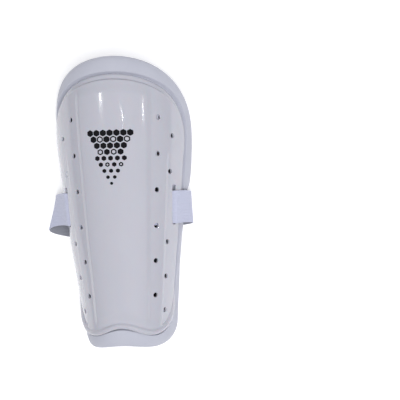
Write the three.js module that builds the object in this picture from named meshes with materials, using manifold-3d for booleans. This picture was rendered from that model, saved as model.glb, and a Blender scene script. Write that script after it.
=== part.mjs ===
// Football shin guard: a moulded plastic shell, a foam backing and an elastic strap that runs between them.
// Millimetres, +Z up. The guard lies on its hollow side, with X across the shin and the knee end at +Y.

import * as THREE from "three";
import Module from "manifold-3d";

const wasm = await Module();
wasm.setup();

// Driving sizes of the shell
const SHELL_LENGTH = 186.5; // along the crown, from the foot arch to the knee end
const SHELL_GIRTH = 131.6; // across the curve, at the widest section
const SHELL_RADIUS = 55; // outer radius of that section, at the flange
const SHELL_WALL = 1.6;
const KNEE_ROUNDING = 45; // how far the round knee end runs down the sides
const FOOT_ARCH = 7.3; // how far the arch cuts into the foot end
const FOOT_CORNER = 20; // height of the round corners beside the arch
const FLANGE_WIDTH = 3.4;
const FLANGE_SLOPE = 1.3; // width of the step between the flange and the face
const FACE_STEP = 1.9; // face above the flange
const PANEL_STEP = 1.1; // central panel above the face
const CREASE_STEP = 0.5; // drop at the crease between the two columns of vents
const RIM_FLARE = 0.9; // rim of the foot end above the face

// Driving sizes of the foam backing
const FOAM_THICKNESS = 5;
const FOAM_KNEE_MARGIN = 13; // foam past the shell at the knee end
const FOAM_FOOT_MARGIN = 14.8; // and at the foot end
const FOAM_SIDE_MARGIN = 9; // and along each side
const FOAM_KNEE_ROUNDING = 62;
const FOAM_FOOT_ARCH = 3.4;
const FOAM_FOOT_CORNER = 11;
const BED_MARGIN = 0.8; // room around the shell in the bed that the foam holds it in
const FOAM_LIP = 0.6; // the foam's border stands this far above the shell's flange
const SIDE_LIFT = 3.5; // the side edges arch this far off the floor, over the strap

// Driving sizes of the vents, the slots and the strap
const VENT_DIAMETER = 3.6;
const VENT_PITCH = 26.4;
const INNER_VENT_START = 155.3; // first vent of the inner columns, from the foot arch
const OUTER_VENT_START = 142;
const VENTS_IN_COLUMN = 6;
const SLOT_PLACE = 2; // vent of the outer columns that the strap slot takes
const FOAM_VENT_SHIFT = 0.8; // the foam's vents are punched a little off the shell's
const STRAP_WIDTH = 25;
const STRAP_THICKNESS = 1;
const SLOT_WIDTH = 4.4;
const SLOT_KNEE_ROOM = 4.5; // slot past the strap's knee-side edge
const SLOT_FOOT_ROOM = 0.7; // and past its foot-side edge
const STRAP_CENTRE = 88.5; // middle of the strap in its slots, from the foot arch
const STRAP_LOOPS = {
  // slack: how far a loop is drawn out past the foam
  // flare: how much further its foot-side edge stands out
  // droop: how far its lowest stretch sags towards the foot end
  left: { slack: 27, flare: 11, droop: 12 },
  right: { slack: 16, flare: 2, droop: 4 },
};
const SEAT_GAP = 0.4;

// Places across the shell, as shares of its half girth
const ACROSS = {
  panel: 0.355,
  panelFoot: 0.435,
  innerVents: 0.507,
  crease: 0.63,
  creaseFoot: 0.665,
  outerVents: 0.695,
  slots: 0.795,
};

// Sections from foot to knee: place as a share of the shell's length, the rest as shares of the sizes above
const SECTIONS = [
  { along: -0.08, radius: 0.605, girth: 0.726, lift: 0.15 },
  { along: 0.107, radius: 0.685, girth: 0.776, lift: 0.22 },
  { along: 0.349, radius: 0.803, girth: 0.853, lift: 0.85 },
  { along: 0.59, radius: 0.915, girth: 0.925, lift: 0.9 },
  { along: 0.832, radius: 0.965, girth: 1.0, lift: 0.22 },
  { along: 1.08, radius: 0.985, girth: 1.008, lift: 0.15 },
];

const clamp01 = (value) => Math.min(Math.max(value, 0), 1);
const smooth = (value) => clamp01(value) ** 2 * (3 - 2 * clamp01(value));
const mix = (from, to, share) => from + (to - from) * share;

// Smooth curve through one column of the section table
function section(column, y) {
  const along = y / SHELL_LENGTH;
  const last = SECTIONS.length - 1;
  const slope = (i) => {
    const [before, after] = [SECTIONS[Math.max(i - 1, 0)], SECTIONS[Math.min(i + 1, last)]];
    return (after[column] - before[column]) / (after.along - before.along);
  };
  let row = 0;
  while (row < last - 1 && along > SECTIONS[row + 1].along) row += 1;
  const [start, end] = [SECTIONS[row], SECTIONS[row + 1]];
  const step = end.along - start.along;
  const t = clamp01((along - start.along) / step);
  return (
    (2 * t ** 3 - 3 * t ** 2 + 1) * start[column] +
    (t ** 3 - 2 * t ** 2 + t) * step * slope(row) +
    (3 * t ** 2 - 2 * t ** 3) * end[column] +
    (t ** 3 - t ** 2) * step * slope(row + 1)
  );
}

const FOAM_TOP = -SHELL_WALL - SEAT_GAP;
const FOAM_BOTTOM = FOAM_TOP - FOAM_THICKNESS;
const radiusAt = (y) => SHELL_RADIUS * section("radius", y);
const halfGirthAt = (y) => (SHELL_GIRTH / 2) * section("girth", y);

// The crown is as high as it takes to hold the foam's side edges at their lift above the floor
function crownAt(y) {
  const edgeAngle = (halfGirthAt(y) + FOAM_SIDE_MARGIN) / radiusAt(y);
  const edgeDepth = radiusAt(y) - (radiusAt(y) + FOAM_BOTTOM) * Math.cos(edgeAngle);
  return SIDE_LIFT * section("lift", y) + edgeDepth;
}

// Wraps a point of the flat pattern, arc from the crown and y from the foot, onto the tapered trough
function wrap(arc, y, offset) {
  const radius = radiusAt(y);
  const angle = arc / radius;
  return new THREE.Vector3(
    (radius + offset) * Math.sin(angle),
    y,
    crownAt(y) - radius + (radius + offset) * Math.cos(angle),
  );
}

// Quarter of a rounded corner: how far it has fallen at a share of its width
const roundedFall = (share) => 1 - Math.sqrt(1 - Math.min(share, 1) ** 2);

// Flat pattern of a sheet: its ends as functions of the share across, and its half width
const SHELL_PATTERN = {
  inset: FLANGE_WIDTH + FLANGE_SLOPE,
  side: 0,
  knee: SHELL_LENGTH,
  kneeRounding: KNEE_ROUNDING,
  foot: 0,
  footArch: FOOT_ARCH,
  footCorner: FOOT_CORNER,
  archWidth: 0.57,
};
const FOAM_PATTERN = {
  inset: 0,
  side: FOAM_SIDE_MARGIN,
  knee: SHELL_LENGTH + FOAM_KNEE_MARGIN,
  kneeRounding: FOAM_KNEE_ROUNDING,
  foot: -FOAM_FOOT_MARGIN,
  footArch: FOAM_FOOT_ARCH,
  footCorner: FOAM_FOOT_CORNER,
  archWidth: 0.55,
};
const BED_PATTERN = { ...SHELL_PATTERN, inset: -BED_MARGIN };

function kneeEnd(pattern, across) {
  return pattern.knee - pattern.inset - pattern.kneeRounding * roundedFall(across);
}

function footEnd(pattern, across) {
  const arch = Math.sin((Math.PI / 2) * Math.min(across / pattern.archWidth, 1)) ** 2;
  const corner = roundedFall(Math.max(across - pattern.archWidth, 0) / (1 - pattern.archWidth));
  return pattern.foot + pattern.inset - pattern.footArch * arch + pattern.footCorner * corner;
}

function patternPoint(pattern, across, along) {
  const y = mix(footEnd(pattern, Math.abs(across)), kneeEnd(pattern, Math.abs(across)), along);
  return new THREE.Vector2(across * (halfGirthAt(y) + pattern.side - pattern.inset), y);
}

// A wrapped sheet: a grid of its face with rings laid around it, a top and a bottom skin, closed at the rim
function wrappedSheet(pattern, halfColumns, rows, rings, topSkin, bottomSkin) {
  const columns = [...halfColumns.slice(1).reverse().map((share) => -share), ...halfColumns];
  const across = columns.length;
  const place = (share, along) => ({ share, along, flat: patternPoint(pattern, share, along) });
  const grid = rows.map((along) => columns.map((share) => place(share, along)));
  const border = [];
  for (let i = 0; i < across; i += 1) border.push([0, i]);
  for (let j = 1; j < rows.length; j += 1) border.push([j, across - 1]);
  for (let i = across - 2; i >= 0; i -= 1) border.push([rows.length - 1, i]);
  for (let j = rows.length - 2; j > 0; j -= 1) border.push([j, 0]);
  const outward = border.map((_, k) => {
    const [j0, i0] = border[(k + border.length - 1) % border.length];
    const [j1, i1] = border[(k + 1) % border.length];
    const along = grid[j1][i1].flat.clone().sub(grid[j0][i0].flat).normalize();
    return new THREE.Vector2(along.y, -along.x);
  });
  const positions = [];
  const addPoint = (flat, offset) => positions.push(...wrap(flat.x, flat.y, offset).toArray());
  const faces = [];
  const skinSize = across * rows.length + border.length * rings.length;
  for (const skin of [topSkin, bottomSkin]) {
    for (const row of grid) for (const { flat, share } of row) addPoint(flat, skin.face(share, flat.y));
    for (const ring of rings) {
      border.forEach(([j, i], k) => {
        const flat = ring.at({ ...grid[j][i], outward: outward[k] });
        addPoint(flat, skin.ring(ring, flat.y));
      });
    }
  }
  const quad = (a, b, c, d) => faces.push(a, b, c, a, c, d);
  const borderIndex = (ring, k) => {
    const [j, i] = border[k % border.length];
    return ring < 0 ? j * across + i : across * rows.length + ring * border.length + (k % border.length);
  };
  for (const [start, turn] of [[0, false], [skinSize, true]]) {
    const side = (a, b, c, d) => (turn ? quad(start + d, start + c, start + b, start + a) : quad(a, b, c, d));
    for (let j = 0; j + 1 < rows.length; j += 1) {
      for (let i = 0; i + 1 < across; i += 1) {
        const corner = j * across + i;
        side(corner, corner + 1, corner + across + 1, corner + across);
      }
    }
    for (let ring = 0; ring < rings.length; ring += 1) {
      for (let k = 0; k < border.length; k += 1) {
        side(
          borderIndex(ring - 1, k),
          borderIndex(ring, k),
          borderIndex(ring, k + 1),
          borderIndex(ring - 1, k + 1),
        );
      }
    }
  }
  const rim = rings.length - 1;
  for (let k = 0; k < border.length; k += 1) {
    const [top, next] = [borderIndex(rim, k), borderIndex(rim, k + 1)];
    quad(top, top + skinSize, next + skinSize, next);
  }
  return closedGeometry(positions, faces);
}

function closedGeometry(positions, faces) {
  const geometry = new THREE.BufferGeometry();
  geometry.setAttribute("position", new THREE.Float32BufferAttribute(positions, 3));
  geometry.setIndex(faces);
  return geometry;
}

// Boolean cuts
function solidOf(geometry) {
  return new wasm.Manifold(
    new wasm.Mesh({
      numProp: 3,
      vertProperties: new Float32Array(geometry.attributes.position.array),
      triVerts: new Uint32Array(geometry.index.array),
    }),
  );
}

function cutAway(geometry, cutters) {
  const cut = cutters.reduce((solid, cutter) => solid.subtract(solidOf(cutter)), solidOf(geometry)).getMesh();
  return closedGeometry(Array.from(cut.vertProperties), Array.from(cut.triVerts));
}

// A closed prism along the surface's normal, around a flat outline of points (arc, y)
function punch(outline, low, high) {
  const count = outline.length;
  const positions = [low, high].flatMap((offset) =>
    outline.flatMap(([arc, y]) => wrap(arc, y, offset).toArray()),
  );
  const faces = [];
  for (let i = 0; i < count; i += 1) {
    const next = (i + 1) % count;
    faces.push(i, next, next + count, i, next + count, i + count);
    if (i > 0 && i < count - 1) faces.push(0, i + 1, i, count, count + i, count + i + 1);
  }
  return closedGeometry(positions, faces);
}

const VENT_SIDES = 10;
const PUNCH_REACH = 4; // past both faces of what is punched

function ventPunches(shift, low, high) {
  const punches = [];
  for (const side of [-1, 1]) {
    for (let i = 0; i < VENTS_IN_COLUMN; i += 1) {
      const places = [[ACROSS.innerVents, INNER_VENT_START - i * VENT_PITCH]];
      if (i !== SLOT_PLACE) places.push([ACROSS.outerVents, OUTER_VENT_START - i * VENT_PITCH]);
      for (const [share, y] of places) {
        const outline = Array.from({ length: VENT_SIDES }, (_, k) => {
          const turn = (2 * Math.PI * (k + 0.5)) / VENT_SIDES;
          const round = [Math.cos(turn), Math.sin(turn)].map((value) => (value * VENT_DIAMETER) / 2);
          return [side * share * halfGirthAt(y) + shift + round[0], y + shift + round[1]];
        });
        punches.push(punch(outline, low, high));
      }
    }
  }
  return punches;
}

// Where the strap leaves the shell
const slotArc = ACROSS.slots * halfGirthAt(STRAP_CENTRE);

function slotPunch(side, low, high) {
  const knee = STRAP_CENTRE + STRAP_WIDTH / 2 + SLOT_KNEE_ROOM;
  const foot = STRAP_CENTRE - STRAP_WIDTH / 2 - SLOT_FOOT_ROOM;
  const corners = [[-1, foot], [1, foot], [1, knee], [-1, knee]];
  const outline = corners.map(([u, y]) => [side * slotArc + (u * SLOT_WIDTH) / 2, y]);
  return punch(outline, low, high);
}

// Height of the shell's outer face above its flange
const PANEL_FADE = 9; // the panel and the crease die out over this length at each end
const CREASE_START = 132;

function shellRelief(share, y) {
  const across = Math.abs(share);
  const slope = clamp01((ACROSS.panelFoot - across) / (ACROSS.panelFoot - ACROSS.panel));
  const ends = Math.min(kneeEnd(SHELL_PATTERN, across) - y, y - footEnd(SHELL_PATTERN, across));
  const panel = PANEL_STEP * slope * smooth(ends / PANEL_FADE);
  const outer = clamp01((across - ACROSS.crease) / (ACROSS.creaseFoot - ACROSS.crease));
  const crease = CREASE_STEP * outer * smooth((CREASE_START - y) / PANEL_FADE);
  return FACE_STEP + panel - crease;
}

// The flange lies on the foam, and turns into a flared rim round the foot end
const FLARE_REACH = 34;

function flangeLevel(ring, y) {
  const flare = smooth((FLARE_REACH - y) / FLARE_REACH) * (FACE_STEP + RIM_FLARE * ring.outer);
  return mix(0, flare, smooth((FLARE_REACH - y) / (FLARE_REACH / 2)));
}

// Columns of the shell's grid, one on each crease and closer together towards the side
const shellColumns = [0, 0.12, 0.24, 0.53, 0.77, 0.87, 0.94, 0.98, 1];
shellColumns.push(ACROSS.panel, ACROSS.panelFoot, ACROSS.crease, ACROSS.creaseFoot);
shellColumns.sort((a, b) => a - b);
const SHELL_ROWS = 18;
const FOAM_ROWS = 14;
const FOAM_COLUMNS = 9; // on each side of the crown
const END_ROW = 0.04; // a grid's first and last rows lie this share of its length from its ends

function evenRows(count) {
  const inner = Array.from({ length: count }, (_, j) => mix(END_ROW, 1 - END_ROW, j / (count - 1)));
  return [0, ...inner, 1];
}

// Rings of a sheet: parallel to its face's border, or part of the way to the outline of another pattern
const parallel = (distance) => (place) => place.flat.clone().addScaledVector(place.outward, distance);
const towards = (pattern, part) => (place) =>
  place.flat.clone().lerp(patternPoint(pattern, place.share, place.along), part);

function makeShell() {
  const borderWidth = FLANGE_SLOPE + FLANGE_WIDTH;
  const rings = [FLANGE_SLOPE, borderWidth].map((distance) => ({
    at: parallel(distance),
    outer: distance / borderWidth,
  }));
  const top = { face: shellRelief, ring: flangeLevel };
  const bottom = {
    face: (share, y) => shellRelief(share, y) - SHELL_WALL,
    ring: (ring, y) => flangeLevel(ring, y) - SHELL_WALL,
  };
  const sheet = wrappedSheet(SHELL_PATTERN, shellColumns, evenRows(SHELL_ROWS), rings, top, bottom);
  const [low, high] = [-SHELL_WALL - PUNCH_REACH, FACE_STEP + PANEL_STEP + PUNCH_REACH];
  const slots = [-1, 1].map((side) => slotPunch(side, low, high));
  return cutAway(sheet, [...ventPunches(0, low, high), ...slots]);
}

// The foam lies under the shell, rises beside it as a lip and ends in a rounded border
const FOAM_BORDER = [
  { toward: 0.2, fall: 0, rise: 0 },
  { toward: 0.72, fall: 0.05, rise: 0 },
  { toward: 0.93, fall: 0.22, rise: 0.08 },
  { toward: 1, fall: 0.5, rise: 0.36 },
];

function makeFoam() {
  const borderThickness = FOAM_LIP - FOAM_BOTTOM;
  const rings = FOAM_BORDER.map(({ toward, ...level }) => ({ ...level, at: towards(FOAM_PATTERN, toward) }));
  const halfColumns = Array.from({ length: FOAM_COLUMNS + 1 }, (_, i) =>
    Math.sin((Math.PI / 2) * (i / FOAM_COLUMNS)),
  );
  const top = { face: () => FOAM_TOP, ring: (ring) => FOAM_LIP - ring.fall * borderThickness };
  const bottom = { face: () => FOAM_BOTTOM, ring: (ring) => FOAM_BOTTOM + ring.rise * borderThickness };
  const sheet = wrappedSheet(BED_PATTERN, halfColumns, evenRows(FOAM_ROWS), rings, top, bottom);
  return cutAway(sheet, ventPunches(FOAM_VENT_SHIFT, FOAM_BOTTOM - PUNCH_REACH, FOAM_LIP + PUNCH_REACH));
}

// The strap is a closed band between two edge curves, one on the knee side (+1) and one on the foot side (-1)
const shellFaceAtSlot = FACE_STEP - CREASE_STEP;
const INSIDE = FOAM_TOP + (shellFaceAtSlot - SHELL_WALL - FOAM_TOP) / 2;
const OUTSIDE = shellFaceAtSlot + SEAT_GAP + STRAP_THICKNESS / 2;
const SLOT_PASS = 1.7; // the strap crosses the wall over twice this length
const ON_FLOOR = 1e-6; // height above the floor that still counts as flat on it
const SIDE_STEPS = 14;
const FLOOR_STEPS = 10;
const INSIDE_STEPS = 20;

function hiddenStretch(edge) {
  const y = STRAP_CENTRE + (edge * STRAP_WIDTH) / 2;
  return Array.from({ length: INSIDE_STEPS + 1 }, (_, i) =>
    wrap(mix(-1, 1, i / INSIDE_STEPS) * (slotArc - SLOT_PASS), y, INSIDE),
  );
}

// A side loop from the slot, round the foam's edge and down onto the floor
function sideLoop(side, edge) {
  const loop = side < 0 ? STRAP_LOOPS.left : STRAP_LOOPS.right;
  const y = STRAP_CENTRE + (edge * STRAP_WIDTH) / 2;
  const start = wrap(side * (slotArc + SLOT_PASS), y, OUTSIDE);
  const lead = wrap(side * (slotArc + SLOT_PASS + 1), y, OUTSIDE).sub(start);
  const foamEdge = wrap(side * (halfGirthAt(STRAP_CENTRE) + FOAM_SIDE_MARGIN), STRAP_CENTRE, FOAM_TOP);
  const floor = STRAP_THICKNESS / 2;
  return new THREE.CubicBezierCurve3(
    start,
    start.clone().addScaledVector(lead, loop.slack),
    new THREE.Vector3(foamEdge.x + side * (loop.slack - edge * loop.flare), y - loop.droop / 2, floor),
    new THREE.Vector3(foamEdge.x - side * FOAM_THICKNESS, y - loop.droop, floor),
  ).getPoints(SIDE_STEPS);
}

function edgeCurve(edge) {
  const right = sideLoop(1, edge);
  const left = sideLoop(-1, edge).reverse();
  const [from, to] = [right[right.length - 1], left[0]];
  const floor = Array.from({ length: FLOOR_STEPS - 1 }, (_, i) =>
    from.clone().lerp(to, (i + 1) / FLOOR_STEPS),
  );
  return [...hiddenStretch(edge), ...right, ...floor, ...left];
}

function makeStrap() {
  const [knee, foot] = [edgeCurve(1), edgeCurve(-1)];
  const count = knee.length;
  const positions = [];
  for (let i = 0; i < count; i += 1) {
    const [before, after] = [(i + count - 1) % count, (i + 1) % count];
    const along = knee[after].clone().add(foot[after]).sub(knee[before]).sub(foot[before]);
    const width = knee[i].clone().sub(foot[i]);
    const half = along.cross(width).setLength(STRAP_THICKNESS / 2);
    const floorLevel = Math.max(knee[i].z, foot[i].z) < STRAP_THICKNESS / 2 + ON_FLOOR;
    if (floorLevel) half.set(0, 0, -STRAP_THICKNESS / 2);
    for (const [edge, turn] of [[knee, 1], [foot, 1], [foot, -1], [knee, -1]]) {
      positions.push(...edge[i].clone().addScaledVector(half, turn).toArray());
    }
  }
  const faces = [];
  for (let i = 0; i < count; i += 1) {
    const [here, there] = [4 * i, 4 * ((i + 1) % count)];
    for (let k = 0; k < 4; k += 1) {
      const next = (k + 1) % 4;
      faces.push(here + k, here + next, there + next, here + k, there + next, there + k);
    }
  }
  return closedGeometry(positions, faces);
}

// Finishes
const glossyPlastic = new THREE.MeshStandardMaterial({ color: 0xdfdfe8, roughness: 0.22, metalness: 0 });
const evaFoam = new THREE.MeshStandardMaterial({ color: 0xdcdde6, roughness: 0.8, metalness: 0 });
const wovenElastic = new THREE.MeshStandardMaterial({ color: 0xd6d9ec, roughness: 0.9, metalness: 0 });

function piece(name, geometry, material) {
  geometry.computeVertexNormals();
  const mesh = new THREE.Mesh(geometry, material);
  mesh.name = name;
  return mesh;
}

const guard = new THREE.Group();
guard.add(piece("shell", makeShell(), glossyPlastic));
guard.add(piece("foam_backing", makeFoam(), evaFoam));
guard.add(piece("elastic_strap", makeStrap(), wovenElastic));

// The origin is at the middle of the box that the guard fills, on the floor
const box = new THREE.Box3().setFromObject(guard);
const middle = box.getCenter(new THREE.Vector3());
guard.position.set(-middle.x, -middle.y, -box.min.z);

export default guard;
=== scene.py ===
import math

import bpy
from mathutils import Matrix, Vector, noise


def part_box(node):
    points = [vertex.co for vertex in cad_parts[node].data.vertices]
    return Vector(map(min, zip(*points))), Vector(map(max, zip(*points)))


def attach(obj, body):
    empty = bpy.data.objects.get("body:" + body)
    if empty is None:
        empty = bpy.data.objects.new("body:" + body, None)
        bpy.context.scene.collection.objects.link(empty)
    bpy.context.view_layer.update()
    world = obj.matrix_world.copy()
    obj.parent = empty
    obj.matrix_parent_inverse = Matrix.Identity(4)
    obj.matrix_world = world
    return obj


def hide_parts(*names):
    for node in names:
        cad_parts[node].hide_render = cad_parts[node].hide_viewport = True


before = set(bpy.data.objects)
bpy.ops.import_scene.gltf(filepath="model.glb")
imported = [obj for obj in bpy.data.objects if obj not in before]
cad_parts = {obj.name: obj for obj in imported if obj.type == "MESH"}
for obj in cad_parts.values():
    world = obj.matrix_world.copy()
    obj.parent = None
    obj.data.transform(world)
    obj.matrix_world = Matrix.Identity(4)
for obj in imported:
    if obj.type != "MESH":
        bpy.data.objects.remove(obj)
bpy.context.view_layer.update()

# Camera. The photo was taken from about half a metre above, a little to the right of the guard and square
# to the floor, so the guard stands in perspective in the left half of the frame, turned nearly two degrees.
MM = 0.001
CAMERA_PLACE = Vector((88.55, 28.16, 468.58)) * MM
CAMERA_TARGET = Vector((65.0, 2.42, 20.12)) * MM
CAMERA_ROLL = math.radians(1.68)
FOCAL_LENGTH_PX = 591.3
PHOTO_WIDTH_PX = 400
SENSOR_WIDTH = 36.0

bpy.ops.object.select_all(action="DESELECT")
bpy.ops.object.camera_add(location=CAMERA_PLACE)
camera = bpy.context.object
camera.data.sensor_width = SENSOR_WIDTH
camera.data.lens = SENSOR_WIDTH * FOCAL_LENGTH_PX / PHOTO_WIDTH_PX
camera.data.clip_start = 10 * MM
looking_back = (CAMERA_PLACE - CAMERA_TARGET).normalized()
to_the_right = Vector((math.sin(CAMERA_ROLL), math.cos(CAMERA_ROLL), 0.0)).cross(looking_back).normalized()
turn = Matrix((to_the_right, looking_back.cross(to_the_right), looking_back)).transposed()
camera.matrix_world = Matrix.Translation(CAMERA_PLACE) @ turn.to_4x4()
bpy.context.scene.camera = camera


def linear(hex_colour):
    """An sRGB colour such as "c8c8d4" as the linear RGBA that a shader takes."""
    shares = [int(hex_colour[i : i + 2], 16) / 255 for i in (0, 2, 4)]
    return tuple(s / 12.92 if s <= 0.04045 else ((s + 0.055) / 1.055) ** 2.4 for s in shares) + (1.0,)


def new_material(name):
    """A material with a Principled BSDF and nothing else, and that shader node."""
    material = bpy.data.materials.new(name)
    material.use_nodes = True
    return material, material.node_tree.nodes["Principled BSDF"]


def add_node(material, kind, settings=None, links=None):
    """Adds one node. settings are its properties or input values; links join its inputs to sockets."""
    node = material.node_tree.nodes.new(kind)
    for key, value in (settings or {}).items():
        if isinstance(key, int) or key in node.inputs:
            node.inputs[key].default_value = value
        else:
            setattr(node, key, value)
    for key, socket in (links or {}).items():
        material.node_tree.links.new(socket, node.inputs[key])
    return node


# Floor. The top of a light table: a wide sheet of white acrylic, weakly lit from below, which leaves no
# shadow. It is as pale as the photo's ground, and lies just under the strap, the lowest part of the guard.
FLOOR_SIZE = 8.0
FLOOR_GAP = 0.05 * MM
FLOOR_COLOUR = "fdfdfe"
FLOOR_GLOW = 0.22

bpy.ops.object.select_all(action="DESELECT")
bpy.ops.mesh.primitive_plane_add(size=FLOOR_SIZE, location=(0, 0, -FLOOR_GAP))
floor = bpy.context.object
floor.name = "floor"
floor_acrylic, floor_shader = new_material("white_acrylic_floor")
floor_shader.inputs["Base Color"].default_value = linear(FLOOR_COLOUR)
floor_shader.inputs["Roughness"].default_value = 0.6
floor_shader.inputs["Emission Color"].default_value = linear(FLOOR_COLOUR)
floor_shader.inputs["Emission Strength"].default_value = FLOOR_GLOW
floor.data.materials.append(floor_acrylic)

# Studio light. A broad neutral softbox overhead, a little to the right and towards the foot, and a weak
# one at the left. The studio's walls are grey and its ceiling is pale, so the sides of the guard are
# darker than its crown.
SOFTBOXES = [
    {"name": "overhead_softbox", "place": (0.38, -0.3, 1.28), "size": (0.9, 0.9), "watts": 12.2},
    {"name": "left_softbox", "place": (-1.0, 0.5, 0.9), "size": (0.7, 0.7), "watts": 1.0},
]
CEILING_COLOUR, CEILING_STRENGTH = "f9f9fa", 0.62
WALL_STRENGTH = 0.17
# Bare lamps above the camera. The gloss of the shell shows each one as a short bright streak.
BARE_LAMPS = [
    {"name": "long_lamp", "place": (-0.455, 0.22, 0.93), "size": (0.06, 0.03), "watts": 0.36},
    {"name": "crown_lamp", "place": (0.113, 0.141, 1.04), "size": (0.05, 0.006), "watts": 0.05},
    {"name": "side_lamp", "place": (0.648, 0.155, 0.825), "size": (0.06, 0.01), "watts": 0.1},
]


def add_area_lamp(name, place, size, watts):
    """A rectangular area light that faces the middle of the guard."""
    bpy.ops.object.select_all(action="DESELECT")
    bpy.ops.object.light_add(type="AREA", location=place)
    lamp = bpy.context.object
    lamp.name = name
    lamp.rotation_euler = Vector(place).to_track_quat("Z", "Y").to_euler()
    lamp.data.shape = "RECTANGLE"
    lamp.data.size, lamp.data.size_y = size
    lamp.data.energy = watts
    return lamp


for softbox in SOFTBOXES:
    add_area_lamp(**softbox).visible_glossy = False
for bare_lamp in BARE_LAMPS:
    add_area_lamp(**bare_lamp)
studio = bpy.data.worlds.new("pale_studio")
studio.use_nodes = True
backdrop = studio.node_tree.nodes["Background"]
backdrop.inputs["Color"].default_value = linear(CEILING_COLOUR)
looking = add_node(studio, "ShaderNodeTexCoord").outputs["Generated"]
upwards = add_node(studio, "ShaderNodeSeparateXYZ", links={"Vector": looking}).outputs["Z"]
brightness = add_node(
    studio, "ShaderNodeMapRange",
    {"interpolation_type": "SMOOTHSTEP", "To Min": WALL_STRENGTH, "To Max": CEILING_STRENGTH},
    {"Value": upwards},
)
studio.node_tree.links.new(brightness.outputs["Result"], backdrop.inputs["Strength"])
bpy.context.scene.world = studio
bpy.context.scene.view_settings.view_transform = "Standard"

# Shell. Injection moulded in glossy white polypropylene, 1.6 mm thick, as a tapered trough with a flange,
# a proud central panel, a crease down each side and a flared foot end. It is worked here as a flat blank,
# with x across from the crown and y from the foot arch, and then bent over the shin.
SHELL_LENGTH = 186.5 * MM
SHELL_GIRTH = 131.6 * MM
SHELL_RADIUS = 55 * MM
SHELL_WALL = 1.6 * MM
FLANGE_WIDTH = 3.4 * MM
FLANGE_SLOPE = 1.3 * MM
FACE_STEP = 1.9 * MM
PANEL_STEP = 1.1 * MM
CREASE_STEP = 0.5 * MM
CREASE_START = 132 * MM
RIM_FLARE = 1.2 * MM
LIP_RISE = 2.2 * MM
LIP_FALL = 1.3 * MM
FLARE_REACH = 34 * MM
RELIEF_FADE = 9 * MM
FOAM_THICKNESS = 5 * MM
FOAM_SIDE_MARGIN = 9 * MM
FOAM_FOOT_MARGIN = 14.8 * MM
FOAM_FOOT_ARCH = 3.4 * MM
SEAT_GAP = 0.4 * MM
SIDE_LIFT = 3.5 * MM
FOAM_TOP = -SHELL_WALL - SEAT_GAP
FOAM_BOTTOM = FOAM_TOP - FOAM_THICKNESS
SHELL_OUTLINE = {
    "inset": FLANGE_WIDTH + FLANGE_SLOPE, "side": 0.0,
    "knee": SHELL_LENGTH, "knee_rounding": 45 * MM,
    "foot": 0.0, "foot_arch": 7.3 * MM, "foot_corner": 20 * MM, "arch_width": 0.57,
}
# Sections from foot to knee: each one's place as a share of the shell's length, its radius, girth and lift
# as shares of the sizes above, and its splay as a share of the foam's right splay
SECTIONS = [
    {"along": -0.08, "radius": 0.605, "girth": 0.726, "lift": 0.15, "splay": 1.9},
    {"along": 0.107, "radius": 0.685, "girth": 0.776, "lift": 0.22, "splay": 1.05},
    {"along": 0.349, "radius": 0.803, "girth": 0.853, "lift": 0.85, "splay": 0.3},
    {"along": 0.59, "radius": 0.915, "girth": 0.925, "lift": 0.9, "splay": 1.35},
    {"along": 0.832, "radius": 0.965, "girth": 1.0, "lift": 0.22, "splay": 1.3},
    {"along": 1.08, "radius": 0.985, "girth": 1.008, "lift": 0.15, "splay": 1.4},
]
# Places across the shell, as shares of its half girth
PANEL_EDGE, PANEL_FOOT = 0.355, 0.435
CREASE_EDGE, CREASE_FOOT = 0.63, 0.665
SHELL_COLUMNS = 190
SHELL_ROWS = 130
ROW_CROWDING = 0.07
STEP_RINGS = 6
EDGE_RINGS = 5
EDGE_ROUNDING = 2.4 * MM
EDGE_FALL = 1.45 * MM
FLANGE_FLAT_END = FLANGE_SLOPE + FLANGE_WIDTH - EDGE_ROUNDING
RIM_ROUNDING = 0.45 * MM
SHARP_ANGLE = math.radians(60)

# The guard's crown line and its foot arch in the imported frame
shell_low, shell_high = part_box("shell")
foam_low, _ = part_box("foam_backing")
CROWN_X = (shell_low.x + shell_high.x) / 2
FOOT_Y = foam_low.y + FOAM_FOOT_MARGIN + FOAM_FOOT_ARCH


def clamp(value):
    return min(max(value, 0.0), 1.0)


def smooth(value):
    return clamp(value) ** 2 * (3 - 2 * clamp(value))


def mix(start, end, share):
    return start + (end - start) * share


def section(column, y):
    """A column of the section table at y, on a smooth curve through its rows."""
    along = y / SHELL_LENGTH
    last = len(SECTIONS) - 1
    row = 0
    while row < last - 1 and along > SECTIONS[row + 1]["along"]:
        row += 1

    def slope(i):
        before, after = SECTIONS[max(i - 1, 0)], SECTIONS[min(i + 1, last)]
        return (after[column] - before[column]) / (after["along"] - before["along"])

    start, end = SECTIONS[row], SECTIONS[row + 1]
    step = end["along"] - start["along"]
    t = clamp((along - start["along"]) / step)
    return (
        (2 * t**3 - 3 * t**2 + 1) * start[column] + (t**3 - 2 * t**2 + t) * step * slope(row)
        + (3 * t**2 - 2 * t**3) * end[column] + (t**3 - t**2) * step * slope(row + 1)
    )


def half_girth(y):
    return SHELL_GIRTH / 2 * section("girth", y)


def bend_over_shin(flat):
    """Bends a point of the flat blank, with z above the flange, onto the tapered trough."""
    radius = SHELL_RADIUS * section("radius", flat.y)
    edge_angle = (half_girth(flat.y) + FOAM_SIDE_MARGIN) / radius
    crown = SIDE_LIFT * section("lift", flat.y) + radius - (radius + FOAM_BOTTOM) * math.cos(edge_angle)
    angle = flat.x / radius
    return Vector((
        CROWN_X + (radius + flat.z) * math.sin(angle),
        FOOT_Y + flat.y,
        crown - radius + (radius + flat.z) * math.cos(angle),
    ))


def rounded_fall(share):
    """How far a quarter of a rounded corner has fallen at a share of its width."""
    return 1 - math.sqrt(1 - min(share, 1.0) ** 2)


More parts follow.
